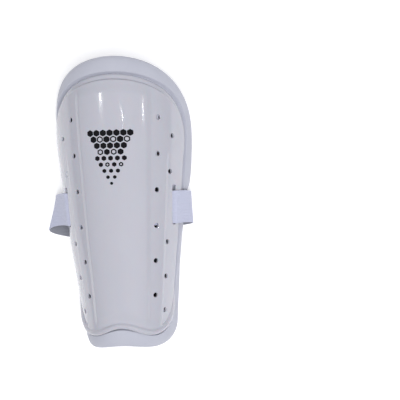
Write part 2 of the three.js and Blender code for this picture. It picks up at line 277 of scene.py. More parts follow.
def knee_end(outline, share):
    return outline["knee"] - outline["inset"] - outline["knee_rounding"] * rounded_fall(share)


def foot_end(outline, share):
    arch = math.sin(math.pi / 2 * min(share / outline["arch_width"], 1.0)) ** 2
    corner = rounded_fall(max(share - outline["arch_width"], 0.0) / (1 - outline["arch_width"]))
    inner_foot = outline["foot"] + outline["inset"]
    return inner_foot - outline["foot_arch"] * arch + outline["foot_corner"] * corner


def blank_point(outline, u, v):
    """A grid point's place on the flat blank, with u and v from -1 to 1. Rows lie closer at both ends."""
    across = math.sin(math.pi / 2 * u)
    share = (v + 1) / 2
    along = share - ROW_CROWDING * math.sin(2 * math.pi * share)
    y = mix(foot_end(outline, abs(across)), knee_end(outline, abs(across)), along)
    return Vector((across * (half_girth(y) + outline["side"] - outline["inset"]), y, 0.0))


def border_outward(outline, u, v):
    """The direction out of the flat outline at a grid point on the border."""
    if v == -1:
        walked = (u + 1) / 2
    elif u == 1:
        walked = 1 + (v + 1) / 2
    elif v == 1:
        walked = 2 + (1 - u) / 2
    else:
        walked = 3 + (1 - v) / 2

    def border_point(distance):
        side, t = divmod(distance % 4, 1)
        corner_run = ((2 * t - 1, -1), (1, 2 * t - 1), (1 - 2 * t, 1), (-1, 1 - 2 * t))
        return blank_point(outline, *corner_run[int(side)])

    stride = 0.01
    along = border_point(walked + stride) - border_point(walked - stride)
    return Vector((along.y, -along.x, 0.0)).normalized()


def shell_relief(flat):
    """Height of the shell's outer face above its flange."""
    share = abs(flat.x) / half_girth(flat.y)
    ends = min(knee_end(SHELL_OUTLINE, share) - flat.y, flat.y - foot_end(SHELL_OUTLINE, share))
    on_panel = smooth((PANEL_FOOT - share) / (PANEL_FOOT - PANEL_EDGE))
    panel = PANEL_STEP * on_panel * smooth(ends / RELIEF_FADE)
    past_crease = smooth((share - CREASE_EDGE) / (CREASE_FOOT - CREASE_EDGE))
    crease = CREASE_STEP * past_crease * smooth((CREASE_START - flat.y) / RELIEF_FADE)
    return FACE_STEP + panel - crease


def foot_flare(y):
    """How much of a flared rim the border is at y: all at the foot arch, none past the flare's reach."""
    to_foot = (FLARE_REACH - y) / FLARE_REACH
    return smooth(to_foot) * smooth(2 * to_foot)


def border_level(face_level, distance, y):
    """Height of the border at a distance outside the face, as a flange or as the flared foot rim."""
    flange = face_level * (1 - smooth(distance / FLANGE_SLOPE))
    flange -= EDGE_FALL * rounded_fall(max(distance - FLANGE_FLAT_END, 0.0) / EDGE_ROUNDING)
    rim = FACE_STEP + RIM_FLARE * smooth(distance / LIP_RISE)
    rim -= LIP_FALL * rounded_fall(max(distance - FLANGE_FLAT_END, 0.0) / EDGE_ROUNDING)
    return mix(flange, rim, foot_flare(y))


def start_blank(name, outline, columns, rows, level):
    """A grid on the flat outline. An attribute keeps each point's u, v and share of the border."""
    bpy.ops.object.select_all(action="DESELECT")
    bpy.ops.mesh.primitive_grid_add(x_subdivisions=columns, y_subdivisions=rows, size=2)
    blank = bpy.context.object
    blank.name = blank.data.name = name
    grid_place = blank.data.attributes.new("grid_place", "FLOAT_VECTOR", "POINT")
    for vertex in blank.data.vertices:
        grid_place.data[vertex.index].vector = (vertex.co.x, vertex.co.y, 0.0)
        flat = blank_point(outline, vertex.co.x, vertex.co.y)
        vertex.co = Vector((flat.x, flat.y, level(flat)))
    return blank


def grow_border(blank, ring_point, share):
    """Extrudes the border edges once. ring_point places the new points, at this share of the border."""
    bpy.ops.object.mode_set(mode="EDIT")
    bpy.ops.mesh.select_all(action="SELECT")
    bpy.ops.mesh.region_to_loop()
    bpy.ops.mesh.extrude_edges_move()
    bpy.ops.object.mode_set(mode="OBJECT")
    grid_place = blank.data.attributes["grid_place"].data
    for vertex in blank.data.vertices:
        if vertex.select:
            u, v, _ = grid_place[vertex.index].vector
            grid_place[vertex.index].vector = (u, v, share)
            vertex.co = ring_point(u, v)


def finish_with(piece, kind, **settings):
    """Adds a modifier with these settings to a piece, and applies it."""
    modifier = piece.modifiers.new(kind.title(), kind)
    for key, value in settings.items():
        setattr(modifier, key, value)
    bpy.ops.object.select_all(action="DESELECT")
    piece.select_set(True)
    bpy.context.view_layer.objects.active = piece
    bpy.ops.object.modifier_apply(modifier=modifier.name)


def round_sharp_edges(piece, width, segments):
    finish_with(
        piece, "BEVEL", width=width, segments=segments, limit_method="ANGLE", angle_limit=SHARP_ANGLE
    )


def bend_piece(piece):
    for vertex in piece.data.vertices:
        vertex.co = bend_over_shin(vertex.co)


shell = start_blank("moulded_shell", SHELL_OUTLINE, SHELL_COLUMNS, SHELL_ROWS, shell_relief)
ring_distances = [FLANGE_SLOPE * (i + 1) / STEP_RINGS for i in range(STEP_RINGS)]
ring_distances += [FLANGE_FLAT_END + EDGE_ROUNDING * i / EDGE_RINGS for i in range(EDGE_RINGS + 1)]
for distance in ring_distances:

    def shell_ring(u, v, distance=distance):
        edge = blank_point(SHELL_OUTLINE, u, v)
        flat = edge + border_outward(SHELL_OUTLINE, u, v) * distance
        flat.z = border_level(shell_relief(edge), distance, flat.y)
        return flat

    grow_border(shell, shell_ring, distance / (FLANGE_SLOPE + FLANGE_WIDTH))
finish_with(shell, "SOLIDIFY", thickness=SHELL_WALL, offset=-1.0, use_even_offset=True)
for vertex in shell.data.vertices:
    vertex.co.z = max(vertex.co.z, -SHELL_WALL)
round_sharp_edges(shell, RIM_ROUNDING, 3)

# Vents and slots. Round pins in the mould leave the vents, in four columns, with a small radius at the
# outer face. A straight slot on each side, in place of the third outer vent, lets the strap through. It
# reaches further past the strap at the knee side than at the foot side.
VENT_DIAMETER = 3.6 * MM
VENT_EDGE_RADIUS = 0.35 * MM
VENT_PITCH = 26.4 * MM
INNER_VENTS, INNER_VENT_START = 0.507, 155.3 * MM
OUTER_VENTS, OUTER_VENT_START = 0.695, 142 * MM
SLOT_ACROSS = 0.795
SLOT_WIDTH = 4.4 * MM
SLOT_CORNER = 0.3 * SLOT_WIDTH
STRAP_CENTRE = 88.5 * MM
STRAP_WIDTH = 25 * MM
SLOT_KNEE_ROOM = 4.5 * MM
SLOT_FOOT_ROOM = 0.7 * MM
SLOT_KNEE_END = STRAP_CENTRE + STRAP_WIDTH / 2 + SLOT_KNEE_ROOM
SLOT_FOOT_END = STRAP_CENTRE - STRAP_WIDTH / 2 - SLOT_FOOT_ROOM
PUNCH_DEPTH = 4 * MM
VENT_SIDES = 28
# Rows from the knee end down. The numbers are how far the foam's hole lies off the shell's, towards the
# side, in mm
VENT_ROWS = [
    {"right_inner": 3.0, "right_outer": 2.5, "left_inner": 2.4, "left_outer": 2.4},
    {"right_inner": 2.0, "right_outer": 0.1, "left_inner": 0.4, "left_outer": 2.2},
    {"right_inner": 1.9, "left_inner": 0.0},
    {"right_inner": 1.0, "right_outer": 2.3, "left_inner": 1.5, "left_outer": 2.4},
    {"right_inner": 0.2, "right_outer": 2.1, "left_inner": 0.8, "left_outer": 2.4},
    {"right_inner": 0.6, "right_outer": 2.9, "left_inner": 1.7, "left_outer": 2.6},
]


def vent_places():
    """Each vent's place on the flat blank, and how far its hole in the foam is off it."""
    for row, offsets in enumerate(VENT_ROWS):
        for column, offset in offsets.items():
            side = 1 if column.startswith("right") else -1
            inner = column.endswith("inner")
            y = (INNER_VENT_START if inner else OUTER_VENT_START) - row * VENT_PITCH
            x = side * (INNER_VENTS if inner else OUTER_VENTS) * half_girth(y)
            yield Vector((x, y, 0.0)), Vector((side * offset * MM, 0.0, 0.0))


def vent_pin(radius, edge_radius, depth):
    """A pin that flares out just below z 0, which rounds the edge of the hole that it cuts."""
    bpy.ops.object.select_all(action="DESELECT")
    bpy.ops.mesh.primitive_cylinder_add(
        vertices=VENT_SIDES, radius=radius, depth=depth, location=(0, 0, -edge_radius - depth / 2)
    )
    pin = bpy.context.object
    bpy.ops.object.transform_apply(location=True)
    bpy.ops.object.mode_set(mode="EDIT")
    bpy.ops.mesh.select_all(action="DESELECT")
    bpy.ops.object.mode_set(mode="OBJECT")
    for face in pin.data.polygons:
        face.select = face.normal.z > 0.9
    bpy.ops.object.mode_set(mode="EDIT")
    steps = 4
    width = radius
    for i in range(steps):
        turned = math.pi / 2 * (i + 1) / steps
        wider = radius + edge_radius * (1 - math.cos(turned))
        rise = edge_radius * (math.sin(turned) - math.sin(math.pi / 2 * i / steps))
        bpy.ops.mesh.extrude_region_move(TRANSFORM_OT_translate={"value": (0, 0, rise)})
        bpy.ops.transform.resize(value=(wider / width, wider / width, 1))
        width = wider
    bpy.ops.mesh.extrude_region_move(TRANSFORM_OT_translate={"value": (0, 0, PUNCH_DEPTH)})
    bpy.ops.object.mode_set(mode="OBJECT")
    return pin


def copy_to(original, place):
    """A copy of a piece with its own mesh, moved to a place."""
    copied = original.copy()
    copied.data = original.data.copy()
    copied.data.transform(Matrix.Translation(place))
    bpy.context.collection.objects.link(copied)
    return copied


def join_as_one(pieces, name):
    bpy.ops.object.select_all(action="DESELECT")
    for piece in pieces:
        piece.select_set(True)
    bpy.context.view_layer.objects.active = pieces[0]
    bpy.ops.object.join()
    joined = bpy.context.object
    joined.name = joined.data.name = name
    return joined


def punch_out(piece, punches, name):
    """Cuts all the punches out of a piece, and removes them."""
    tool = join_as_one(punches, name)
    finish_with(piece, "BOOLEAN", operation="DIFFERENCE", object=tool, solver="EXACT")
    bpy.data.objects.remove(tool)


pin = vent_pin(VENT_DIAMETER / 2, VENT_EDGE_RADIUS, SHELL_WALL + PUNCH_DEPTH)
shell_punches = []
for place, _ in vent_places():
    face = shell_relief(place)
    shell_punches.append(copy_to(pin, place + Vector((0, 0, face))))
bpy.data.objects.remove(pin)
for side in (-1, 1):
    bpy.ops.object.select_all(action="DESELECT")
    slot_place = (side * SLOT_ACROSS * half_girth(STRAP_CENTRE), (SLOT_KNEE_END + SLOT_FOOT_END) / 2, 0)
    bpy.ops.mesh.primitive_cube_add(size=1, location=slot_place)
    slot_cutter = bpy.context.object
    slot_cutter.scale = (SLOT_WIDTH, SLOT_KNEE_END - SLOT_FOOT_END, 4 * PUNCH_DEPTH)
    bpy.ops.object.transform_apply(location=True, scale=True)
    bpy.ops.object.mode_set(mode="EDIT")
    bpy.ops.mesh.select_all(action="DESELECT")
    bpy.ops.object.mode_set(mode="OBJECT")
    for edge in slot_cutter.data.edges:
        ends = [slot_cutter.data.vertices[i].co for i in edge.vertices]
        edge.select = abs(ends[0].z - ends[1].z) > PUNCH_DEPTH
    bpy.ops.object.mode_set(mode="EDIT")
    bpy.ops.mesh.bevel(offset=SLOT_CORNER, segments=5, affect="EDGES")
    bpy.ops.object.mode_set(mode="OBJECT")
    shell_punches.append(slot_cutter)
punch_out(shell, shell_punches, "shell_punches")
bend_piece(shell)


def shade_by_angle(piece, degrees):
    bpy.ops.object.select_all(action="DESELECT")
    piece.select_set(True)
    bpy.context.view_layer.objects.active = piece
    bpy.ops.object.shade_smooth_by_angle(angle=math.radians(degrees))


shade_by_angle(shell, 38)

# Polypropylene, moulded against a polished steel tool: an even milky white with a clean gloss that shows
# the lamps. The tool was polished lengthwise, so faint lines run from foot to knee. The wall has shrunk
# back unevenly by a hundredth of a millimetre, and handling has left a soft haze.
PLASTIC_COLOUR, PLASTIC_SHADE = "bebec8", "b7b8c4"
TOOL_LINE_PITCH, TOOL_LINE_HEIGHT = 1.4 * MM, 0.01 * MM
HAZE_SIZE = 26 * MM
SINK_SIZE, SINK_DEPTH = 9 * MM, 0.012 * MM

polypropylene, plastic = new_material("moulded_polypropylene")
plastic.inputs["IOR"].default_value = 1.49
plastic.inputs["Coat Weight"].default_value = 0.5
plastic.inputs["Coat Roughness"].default_value = 0.05
plastic.inputs["Subsurface Weight"].default_value = 0.08
plastic.inputs["Subsurface Scale"].default_value = 2.5 * MM
place = add_node(polypropylene, "ShaderNodeTexCoord").outputs["Object"]
lengthwise = add_node(polypropylene, "ShaderNodeMapping", {"Scale": (1, 0.03, 1)}, {"Vector": place})
tool_lines = add_node(
    polypropylene, "ShaderNodeTexNoise",
    {"Scale": 1 / TOOL_LINE_PITCH, "Detail": 2.0}, {"Vector": lengthwise.outputs[0]},
)
haze = add_node(
    polypropylene, "ShaderNodeTexNoise",
    {"Scale": 1 / HAZE_SIZE, "Detail": 4.0, "Roughness": 0.6}, {"Vector": place},
)
sink = add_node(
    polypropylene, "ShaderNodeTexNoise", {"Scale": 1 / SINK_SIZE, "Detail": 1.0}, {"Vector": place}
)
gloss = add_node(
    polypropylene, "ShaderNodeMapRange", {"To Min": 0.1, "To Max": 0.2}, {"Value": haze.outputs["Fac"]}
)
tint = add_node(
    polypropylene, "ShaderNodeMix",
    {"data_type": "RGBA", "A": linear(PLASTIC_COLOUR), "B": linear(PLASTIC_SHADE)},
    {"Factor": haze.outputs["Fac"]},
)
line_bump = add_node(
    polypropylene, "ShaderNodeBump", {"Strength": 0.5, "Distance": TOOL_LINE_HEIGHT},
    {"Height": tool_lines.outputs["Fac"]},
)
sink_bump = add_node(
    polypropylene, "ShaderNodeBump", {"Strength": 1.0, "Distance": SINK_DEPTH},
    {"Height": sink.outputs["Fac"], "Normal": line_bump.outputs["Normal"]},
)
polypropylene.node_tree.links.new(tint.outputs["Result"], plastic.inputs["Base Color"])
polypropylene.node_tree.links.new(gloss.outputs["Result"], plastic.inputs["Roughness"])
polypropylene.node_tree.links.new(sink_bump.outputs["Normal"], plastic.inputs["Normal"])
shell.data.materials.append(polypropylene)
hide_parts("shell")
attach(shell, "root")

# Foam backing. One sheet of white EVA foam, 5 mm thick under the shell's flange, pressed hot in a form: it
# takes the bend of the shin, fills the hollow of the shell's face, rises beside the shell in a thicker
# border with a rounded edge, and is pierced under each vent. The right border has splayed a little.
FOAM_KNEE_MARGIN = 13 * MM
FOAM_LIP = 0.6 * MM
BED_MARGIN = 0.3 * MM
BED_OUTLINE = {**SHELL_OUTLINE, "inset": -BED_MARGIN}
FOAM_OUTLINE = {
    "inset": 0.0, "side": FOAM_SIDE_MARGIN,
    "knee": SHELL_LENGTH + FOAM_KNEE_MARGIN, "knee_rounding": 62 * MM,
    "foot": -FOAM_FOOT_MARGIN, "foot_arch": FOAM_FOOT_ARCH, "foot_corner": 11 * MM, "arch_width": 0.55,
}
BORDER_HEIGHT = FOAM_LIP - FOAM_BOTTOM
# Share of the border's width in which the foam rises out of the bed
BED_WALL = 0.1
BED_WALL_RINGS = 4
# How far the border's edge curves in, as shares of its height, and how full each curve is
TOP_FALL, TOP_FULLNESS = 0.5, 2.6
BOTTOM_RISE, BOTTOM_FULLNESS = 0.4, 5
BED_SLOPE = 3 * MM
CHANNEL_ROOM = 1.5 * MM
CHANNEL_SLOPE = 4 * MM
RIM_FOLLOWED = 0.2
# The right border's splay, where it starts across the foam, and how the strap holds it down
RIGHT_SPLAY, SPLAY_START = 2.8 * MM, 0.3
HELD_SPLAY = 0.5
HOLD_INSET, HOLD_FADE = 3 * MM, 8 * MM
FOAM_COLUMNS = 120
FOAM_ROWS = 110
FOAM_RINGS = 14
DENT_SIZE = 22 * MM
DENT_DEPTH = 0.3 * MM


def edge_curve(share, fullness):
    """How far the edge has curved in at a share of its width, from 0 to 1."""
    return 1 - (1 - share**fullness) ** (1 / fullness)


def foam_top_level(share, bed_edge):
    """Height of the foam's upper skin in its border, from the bed, share 0, to the outer edge, share 1."""
    if share < BED_WALL:
        return mix(bed_edge, FOAM_LIP, smooth(share / BED_WALL))
    outer = (share - BED_WALL) / (1 - BED_WALL)
    return FOAM_LIP - TOP_FALL * BORDER_HEIGHT * edge_curve(outer, TOP_FULLNESS)


def foam_bottom_level(share):
    return FOAM_BOTTOM + BOTTOM_RISE * BORDER_HEIGHT * edge_curve(min(share, 1.0), BOTTOM_FULLNESS)


def foam_bed_level(flat):
    """Height of the bed, which follows the raised face and a little of the foot rim. A flat channel in it
    takes the strap."""
    share = abs(flat.x) / half_girth(flat.y)
    room = min(
        half_girth(flat.y) - SHELL_OUTLINE["inset"] - abs(flat.x),
        knee_end(SHELL_OUTLINE, share) - flat.y,
        flat.y - foot_end(SHELL_OUTLINE, share),
    )
    past_strap = (abs(flat.y - STRAP_CENTRE) - STRAP_WIDTH / 2 - CHANNEL_ROOM) / CHANNEL_SLOPE
    under_face = shell_relief(flat) * smooth(room / BED_SLOPE) * smooth(past_strap)
    under_rim = border_level(shell_relief(flat), max(-room, 0.0), flat.y)
    return FOAM_TOP + mix(under_face, under_rim, RIM_FOLLOWED * foot_flare(flat.y))


def splay(u, y, share):
    """How far the foam's right border has sprung back, which is less where the strap holds it."""
    past_strap = (abs(y - STRAP_CENTRE) - STRAP_WIDTH / 2 + HOLD_INSET) / HOLD_FADE
    held = mix(HELD_SPLAY, 1.0, smooth(past_strap))
    outwards = smooth((u - SPLAY_START) / (1 - SPLAY_START))
    return RIGHT_SPLAY * section("splay", y) * held * smooth(share) * outwards


foam = start_blank("eva_foam_pad", BED_OUTLINE, FOAM_COLUMNS, FOAM_ROWS, foam_bed_level)
border_shares = [BED_WALL * (i + 1) / BED_WALL_RINGS for i in range(BED_WALL_RINGS)]
border_shares += [
    mix(BED_WALL, 1.0, math.sin(math.pi / 2 * (i + 1) / FOAM_RINGS)) for i in range(FOAM_RINGS)
]
for share in border_shares:

    def foam_ring(u, v, share=share):
        bed_edge = blank_point(BED_OUTLINE, u, v)
        flat = bed_edge.lerp(blank_point(FOAM_OUTLINE, u, v), share)
        dent = DENT_DEPTH * noise.noise(flat / DENT_SIZE) * smooth(share / (2 * BED_WALL))
        flat.z = foam_top_level(share, foam_bed_level(bed_edge)) + dent + splay(u, flat.y, share)
        return flat

    grow_border(foam, foam_ring, share)
skin_points = len(foam.data.vertices)
finish_with(foam, "SOLIDIFY", thickness=FOAM_THICKNESS / 2, offset=-1.0)
foam_place = foam.data.attributes["grid_place"].data
for vertex in foam.data.vertices[skin_points:]:
    upper = foam.data.vertices[vertex.index - skin_points].co
    u, _, share = foam_place[vertex.index].vector
    vertex.co = Vector((upper.x, upper.y, foam_bottom_level(share) + splay(u, upper.y, share)))

# EVA foam with a moulded skin: satin white, soft to the light, with fine pores. The walls of the pierced
# holes are cut cells without a skin, coloured almost black as painted shade for the depth of the holes.
FOAM_COLOUR, FOAM_SHADE = "bfc1cd", "b6b8c6"
PORE_SIZE, PORE_DEPTH = 0.7 * MM, 0.05 * MM
PRESS_MARK_SIZE, PRESS_MARK_DEPTH = 14 * MM, 0.12 * MM
CUT_CELL_DEPTH = 0.1 * MM
# Painted shade: the hole walls are coloured near black in place of the shade deep inside the holes.
HOLE_PAINTED_SHADE_COLOUR = "26262b"

eva_skin, skin_shader = new_material("eva_foam_skin")
skin_shader.inputs["IOR"].default_value = 1.45
skin_shader.inputs["Sheen Weight"].default_value = 0.12
skin_shader.inputs["Sheen Roughness"].default_value = 0.5
place = add_node(eva_skin, "ShaderNodeTexCoord").outputs["Object"]
pores = add_node(
    eva_skin, "ShaderNodeTexNoise", {"Scale": 1 / PORE_SIZE, "Detail": 3.0}, {"Vector": place}
)
press_marks = add_node(
    eva_skin, "ShaderNodeTexNoise", {"Scale": 1 / PRESS_MARK_SIZE, "Detail": 3.0}, {"Vector": place}
)
skin_tint = add_node(
    eva_skin, "ShaderNodeMix", {"data_type": "RGBA", "A": linear(FOAM_COLOUR), "B": linear(FOAM_SHADE)},
    {"Factor": press_marks.outputs["Fac"]},
)
skin_gloss = add_node(
    eva_skin, "ShaderNodeMapRange", {"To Min": 0.48, "To Max": 0.66}, {"Value": pores.outputs["Fac"]}
)
press_bump = add_node(
    eva_skin, "ShaderNodeBump", {"Strength": 1.0, "Distance": PRESS_MARK_DEPTH},
    {"Height": press_marks.outputs["Fac"]},
)
pore_bump = add_node(
    eva_skin, "ShaderNodeBump", {"Strength": 0.6, "Distance": PORE_DEPTH},
    {"Height": pores.outputs["Fac"], "Normal": press_bump.outputs["Normal"]},
)
eva_skin.node_tree.links.new(skin_tint.outputs["Result"], skin_shader.inputs["Base Color"])
eva_skin.node_tree.links.new(skin_gloss.outputs["Result"], skin_shader.inputs["Roughness"])
eva_skin.node_tree.links.new(pore_bump.outputs["Normal"], skin_shader.inputs["Normal"])

# The hole walls' dark base colour is painted shade.
hole_walls_painted_shade, cell_shader = new_material("cut_eva_cells_painted_shade")
cell_shader.inputs["Base Color"].default_value = linear(HOLE_PAINTED_SHADE_COLOUR)
cell_place = add_node(hole_walls_painted_shade, "ShaderNodeTexCoord").outputs["Object"]
cells = add_node(hole_walls_painted_shade, "ShaderNodeTexVoronoi", {"Scale": 1 / PORE_SIZE}, {"Vector": cell_place})
cell_bump = add_node(
    hole_walls_painted_shade, "ShaderNodeBump", {"Strength": 0.8, "Distance": CUT_CELL_DEPTH},
    {"Height": cells.outputs["Distance"]},
)
cell_gloss = add_node(
    hole_walls_painted_shade, "ShaderNodeMapRange", {"To Min": 0.7, "To Max": 0.95}, {"Value": cells.outputs["Distance"]}
)
hole_walls_painted_shade.node_tree.links.new(cell_bump.outputs["Normal"], cell_shader.inputs["Normal"])
hole_walls_painted_shade.node_tree.links.new(cell_gloss.outputs["Result"], cell_shader.inputs["Roughness"])

bpy.ops.object.select_all(action="DESELECT")
bpy.ops.mesh.primitive_cylinder_add(
    vertices=VENT_SIDES, radius=VENT_DIAMETER / 2,
    depth=2 * BORDER_HEIGHT, location=(0, 0, FOAM_BOTTOM / 2),
)
needle = bpy.context.object
bpy.ops.object.transform_apply(location=True)
for material in (eva_skin, hole_walls_painted_shade):
    needle.data.materials.append(material)
    foam.data.materials.append(material)
# The cut faces take the hole-wall material, whose near-black colour is painted shade.
for face in needle.data.polygons:
    face.material_index = 1
foam_punches = [copy_to(needle, place + offset) for place, offset in vent_places()]
bpy.data.objects.remove(needle)
punch_out(foam, foam_punches, "foam_punches")
bend_piece(foam)
shade_by_angle(foam, 40)
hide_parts("foam_backing")
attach(foam, "root")

# Elastic strap. One loop of 25 mm woven elastic, ribbed along its length, which lies between shell and
# foam, comes out through the slots, stands off the sides in two loose bows and lies flat on the floor. The
# weave's crosswise picks close up at the selvedges, which are firmer and a little thicker.
STRAP_THICKNESS = 0.95 * MM
SLOT_PASS = 1.7 * MM
FACE_ROOM = 0.5 * MM
STRAP_BOWS = {
    -1: {"slack": 27 * MM, "flare": 11 * MM, "droop": 12 * MM},
    1: {"slack": 16 * MM, "flare": 2 * MM, "droop": 4 * MM},
}
STRAP_COLUMNS = 75
RIB_COUNT = 11
RIB_GROOVE = 0.16 * MM
SELVEDGE_HEIGHT, SELVEDGE_WIDTH = 0.12 * MM, 1.2 * MM
SELVEDGE_ROUNDING = 0.25 * MM
BOW_STEPS = 26
FLOOR_STEPS = 22
HIDDEN_STEPS = 36
ROUNDING_PASSES = 2
WELD_DISTANCE = 0.001 * MM

face_at_slot = FACE_STEP - CREASE_STEP
INSIDE_LEVEL = (FOAM_TOP + face_at_slot - SHELL_WALL) / 2
OUTSIDE_LEVEL = face_at_slot + SEAT_GAP + FACE_ROOM
slot_arc = SLOT_ACROSS * half_girth(STRAP_CENTRE)


def strap_bow(side, edge):
    """One edge of a bow as points of a Bezier curve, from the slot round the foam and onto the floor."""
    bow = STRAP_BOWS[side]
    y = STRAP_CENTRE + edge * STRAP_WIDTH / 2
    start = bend_over_shin(Vector((side * (slot_arc + SLOT_PASS), y, OUTSIDE_LEVEL)))
    lead = bend_over_shin(Vector((side * (slot_arc + SLOT_PASS + MM), y, OUTSIDE_LEVEL))) - start
    foam_edge = bend_over_shin(
        Vector((side * (half_girth(STRAP_CENTRE) + FOAM_SIDE_MARGIN), STRAP_CENTRE, FOAM_TOP))
    )
    floor_level = STRAP_THICKNESS / 2
    guides = [
        start,
        start + lead * (bow["slack"] / MM),
        Vector((
            foam_edge.x + side * (bow["slack"] - edge * bow["flare"]),
            FOOT_Y + y - bow["droop"] / 2,
            floor_level,
        )),
        Vector((foam_edge.x - side * FOAM_THICKNESS, FOOT_Y + y - bow["droop"], floor_level)),
    ]
    points = []
    for i in range(BOW_STEPS + 1):
        t = i / BOW_STEPS
        weights = ((1 - t) ** 3, 3 * t * (1 - t) ** 2, 3 * t**2 * (1 - t), t**3)
        points.append(sum((guide * weight for guide, weight in zip(guides, weights)), Vector()))
    return points


def strap_edge(edge):
    """One edge of the whole loop, with rounded bends. It starts at the crown, between shell and foam."""
    y = STRAP_CENTRE + edge * STRAP_WIDTH / 2
    hidden = [
        bend_over_shin(Vector((mix(-1, 1, i / HIDDEN_STEPS) * (slot_arc - SLOT_PASS), y, INSIDE_LEVEL)))
        for i in range(HIDDEN_STEPS + 1)
    ]
    right, left = strap_bow(1, edge), strap_bow(-1, edge)[::-1]
    lying = [right[-1].lerp(left[0], i / FLOOR_STEPS) for i in range(1, FLOOR_STEPS)]
    half = HIDDEN_STEPS // 2
    points = hidden[half:] + right + lying + left + hidden[: half + 1]
    for _ in range(ROUNDING_PASSES):
        rounded = [points[0]]
        for first, second in zip(points, points[1:]):
            rounded += [first.lerp(second, 0.25), first.lerp(second, 0.75)]
        points = rounded + [points[-1]]
    return points


knee_edge, foot_edge = strap_edge(1), strap_edge(-1)
strap_rows = len(knee_edge) - 1
run = [0.0]
for i in range(strap_rows):
    first = (knee_edge[i] + foot_edge[i]) / 2
    second = (knee_edge[i + 1] + foot_edge[i + 1]) / 2
    run.append(run[-1] + (second - first).length)

bpy.ops.object.select_all(action="DESELECT")
bpy.ops.mesh.primitive_grid_add(x_subdivisions=strap_rows, y_subdivisions=STRAP_COLUMNS, size=2)
strap = bpy.context.object
strap.name = strap.data.name = "woven_elastic_strap"
weave_place = strap.data.attributes.new("weave_place", "FLOAT_VECTOR", "POINT")
for vertex in strap.data.vertices:
    row = round((vertex.co.x + 1) / 2 * strap_rows)
    across = (vertex.co.y + 1) / 2
    before, after = max(row - 1, 0), min(row + 1, strap_rows)
    along = (knee_edge[after] - knee_edge[before]).lerp(foot_edge[after] - foot_edge[before], 1 - across)
    outwards = along.cross(knee_edge[row] - foot_edge[row]).normalized()
    rib = abs(math.cos(math.pi * RIB_COUNT * across))
    from_selvedge = min(across, 1 - across) * STRAP_WIDTH
    relief = -RIB_GROOVE * (1 - rib) ** 2
    relief += SELVEDGE_HEIGHT * (1 - smooth(from_selvedge / SELVEDGE_WIDTH))
    lying_low = min(knee_edge[row].z, foot_edge[row].z) < STRAP_THICKNESS
    if lying_low and outwards.z < 0:
        relief = min(relief, 0.0)
    vertex.co = foot_edge[row].lerp(knee_edge[row], across) + outwards * relief
    weave_place.data[vertex.index].vector = Vector((run[row], across * STRAP_WIDTH, 0.0))
bpy.ops.object.mode_set(mode="EDIT")
bpy.ops.mesh.select_all(action="SELECT")
bpy.ops.mesh.remove_doubles(threshold=WELD_DISTANCE)
bpy.ops.object.mode_set(mode="OBJECT")
woven_elastic, elastic_shader = new_material("woven_elastic")
# The second material, for the back, is darkened as painted shade.
strap_back_painted_shade, back_shader = new_material("woven_elastic_back_painted_shade")
strap.data.materials.append(woven_elastic)
strap.data.materials.append(strap_back_painted_shade)
# The inner skin takes the back material, whose darker grey is painted shade.
finish_with(strap, "SOLIDIFY", thickness=STRAP_THICKNESS, offset=0.0, material_offset=1)
round_sharp_edges(strap, SELVEDGE_ROUNDING, 2)
shade_by_angle(strap, 60)

# Woven elastic: white polyester picks over rubber threads, with a bluish optical white that looks brighter
# than the plastic. It scatters light softly, has a random yarn tone, and has painted shade between the
# picks, which are 0.8 mm apart here, a little coarser than real ones so that they show.
ELASTIC_COLOUR, ELASTIC_GROOVE_PAINTED_SHADE = "ced1e4", "acb0ca"
PICK_PITCH, PICK_HEIGHT = 0.8 * MM, 0.12 * MM
YARN_SIZE = 0.4 * MM

elastic_shader.inputs["Roughness"].default_value = 0.85
elastic_shader.inputs["Sheen Weight"].default_value = 0.3
elastic_shader.inputs["Sheen Roughness"].default_value = 0.4
weave = add_node(
    woven_elastic, "ShaderNodeAttribute", {"attribute_type": "GEOMETRY", "attribute_name": "weave_place"}
).outputs["Vector"]
picks = add_node(
    woven_elastic, "ShaderNodeTexWave",
    {"bands_direction": "X", "Scale": math.pi / (10 * PICK_PITCH), "Distortion": 0.6, "Detail": 1.0},
    {"Vector": weave},
)
yarn = add_node(
    woven_elastic, "ShaderNodeTexNoise", {"Scale": 1 / YARN_SIZE, "Detail": 2.0}, {"Vector": weave}
)
pick_yarn = add_node(
    woven_elastic, "ShaderNodeMath", {"operation": "MULTIPLY"},
    {0: picks.outputs["Fac"], 1: yarn.outputs["Fac"]},
)
# Painted shade: the tint darkens in the grooves between the picks, mixed with a random yarn tone.
yarn_tone_and_pick_shade = add_node(
    woven_elastic, "ShaderNodeMapRange", {"From Max": 0.6, "To Min": 0.25, "To Max": 1.0},
    {"Value": pick_yarn.outputs[0]},
)
elastic_tint = add_node(
    woven_elastic, "ShaderNodeMix",
    {"data_type": "RGBA", "A": linear(ELASTIC_GROOVE_PAINTED_SHADE), "B": linear(ELASTIC_COLOUR)},
    {"Factor": yarn_tone_and_pick_shade.outputs["Result"]},
)
weave_bump = add_node(
    woven_elastic, "ShaderNodeBump", {"Strength": 0.8, "Distance": PICK_HEIGHT},
    {"Height": pick_yarn.outputs[0]},
)
woven_elastic.node_tree.links.new(elastic_tint.outputs["Result"], elastic_shader.inputs["Base Color"])
woven_elastic.node_tree.links.new(weave_bump.outputs["Normal"], elastic_shader.inputs["Normal"])

# The back of the elastic, towards the shin, with coarse yarn. Its grey colour is painted shade, which
# darkens the insides of the bows.
BACK_PAINTED_SHADE, BACK_YARN_PAINTED_SHADE = "8e9099", "7e808b"
BACK_YARN_HEIGHT = 0.1 * MM

